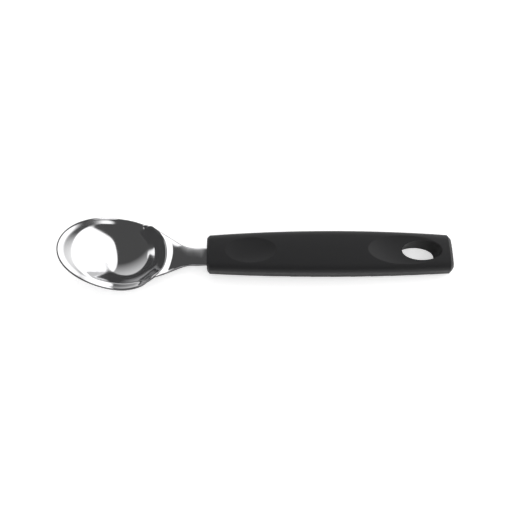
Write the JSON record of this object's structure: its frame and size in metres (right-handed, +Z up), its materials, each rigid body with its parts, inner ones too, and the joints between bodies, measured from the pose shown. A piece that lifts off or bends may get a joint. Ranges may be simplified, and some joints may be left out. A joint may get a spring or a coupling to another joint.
{
  "type": "ice cream spoon",
  "caption": "Ice cream spoon: an egg-shaped stamped steel bowl with a flat brim and waisted neck, and a moulded black handle with a thumb hollow and an oval hanging hole.",
  "frame": {"origin": "On the table below the middle of the spoon, at the centre of the box round it.", "axes": "+X runs from the bowl's tip to the handle's tail, +Y across the spoon, +Z up from the table it rests on, with the bowl open upwards."},
  "size_m": [0.202, 0.0384, 0.0252],
  "materials": {
    "polished_steel": "polished stainless steel with a faint satin grain",
    "black_plastic": "fine satin moulded plastic, black"
  },
  "bodies": {
    "root": {"steel_spoon": "polished_steel", "handle": "black_plastic"}
  },
  "joints": []
}
